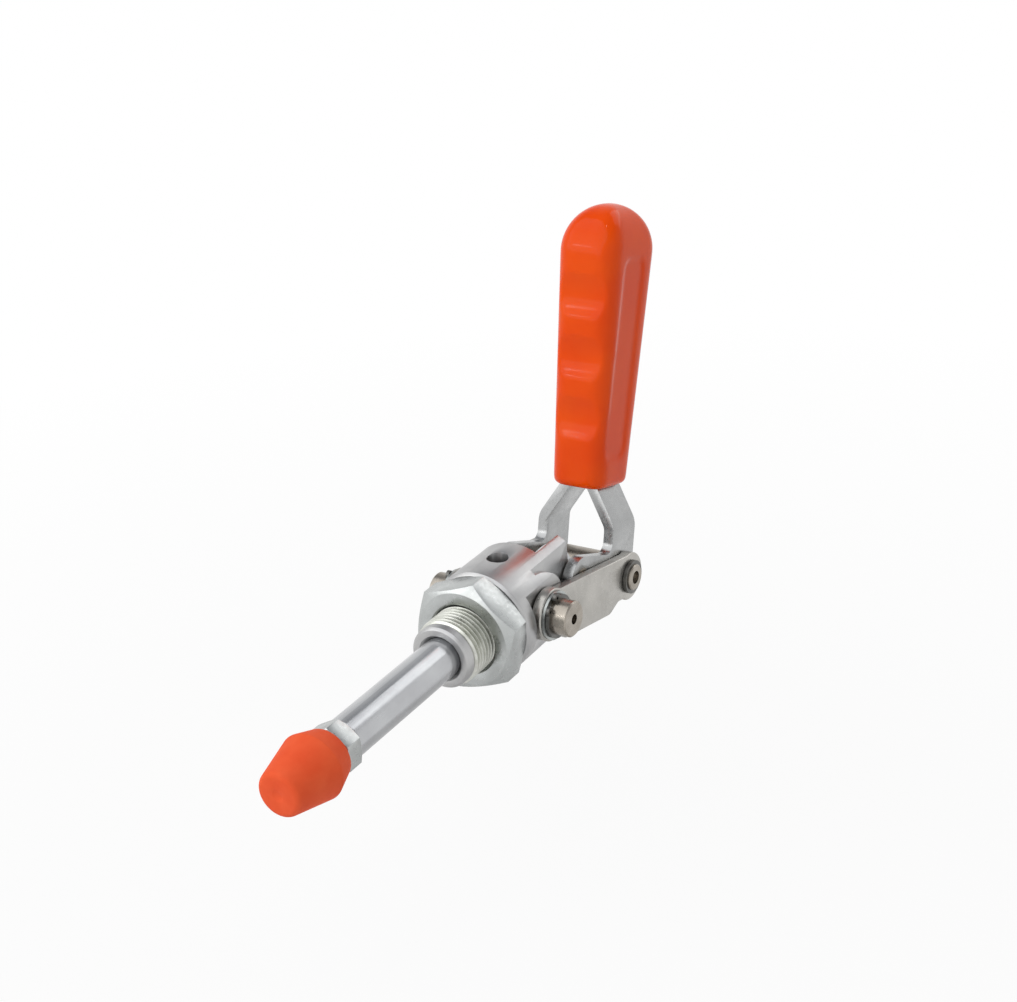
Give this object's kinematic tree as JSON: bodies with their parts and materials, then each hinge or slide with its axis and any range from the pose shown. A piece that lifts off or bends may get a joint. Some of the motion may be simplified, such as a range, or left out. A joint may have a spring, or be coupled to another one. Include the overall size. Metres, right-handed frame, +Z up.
{
  "type": "push-pull toggle clamp",
  "caption": "Push-pull toggle clamp: threaded nose body, plunger with rubber tip, side links and an upright gripped handle that swings back to retract the plunger.",
  "frame": {"origin": "on the plunger's axis, where the free thread of the nose begins, 0.3 mm in front of the mounting nut", "axes": "+X forward along the plunger to the rubber tip, +Y to the clamp's left, +Z up along the handle's side"},
  "size_m": [0.1951, 0.046, 0.1156],
  "materials": {
    "body_zinc": "bright zinc plate over turned and milled steel",
    "nut_zinc": "bright zinc plate, slightly bluish",
    "rod_steel": "bright drawn bar",
    "stud_steel": "zinc plate on a thread",
    "link_zinc": "zinc plate on stamped strip, slightly warm",
    "plate_zinc": "zinc plate on stamped strip",
    "pin_steel": "turned and ground steel, slightly warm",
    "ring_steel": "phosphated spring steel",
    "washer_zinc": "zinc plate",
    "tip_rubber": "matte moulded rubber",
    "grip_plastic": "glossy dipped plastic"
  },
  "bodies": {
    "frame": {"clamp_body": "body_zinc", "mounting_nut": "nut_zinc", "pivot_stud_left": "pin_steel", "pivot_stud_right": "pin_steel", "front_washer_left": "washer_zinc", "front_washer_right": "washer_zinc", "front_circlip_left": "ring_steel", "front_circlip_right": "ring_steel"},
    "plunger": {"plunger_rod": "rod_steel", "tip_lock_nut": "nut_zinc", "tip_stud": "stud_steel", "rubber_tip": "tip_rubber", "plunger_cross_pin": "pin_steel", "cross_pin_collar_left": "pin_steel", "cross_pin_collar_right": "pin_steel"},
    "links": {"link_left": "link_zinc", "link_right": "link_zinc"},
    "handle": {"handle_plate_left": "plate_zinc", "handle_plate_right": "plate_zinc", "rear_pivot_pin": "pin_steel", "plate_spacer_tube": "pin_steel", "rear_circlip_left": "ring_steel", "rear_circlip_right": "ring_steel", "cross_pin_end_left": "pin_steel", "cross_pin_end_right": "pin_steel", "tang_rivet_lower": "pin_steel", "tang_rivet_upper": "pin_steel", "grip": "grip_plastic"}
  },
  "joints": [
    {"name": "link_swing", "type": "hinge", "parent": "frame", "child": "links", "pos_m": [-0.0232, 0, 0], "axis": [0, -1, 0], "range_deg": [0, 15.23]},
    {"name": "handle_swing", "type": "hinge", "parent": "links", "child": "handle", "pos_m": [-0.06922, 0, -0.00957], "axis": [0, -1, 0], "range_deg": [0, 83.77]},
    {"name": "plunger_slide", "type": "slide", "parent": "frame", "child": "plunger", "axis": [-1, 0, 0], "range_m": [0, 0.03203]}
  ],
  "couplings": [
    {"joint": "link_swing", "follows": "handle_swing", "ratio": 0.18174},
    {"joint": "plunger_slide", "follows": "handle_swing", "m_per_rad": 0.021907}
  ]
}
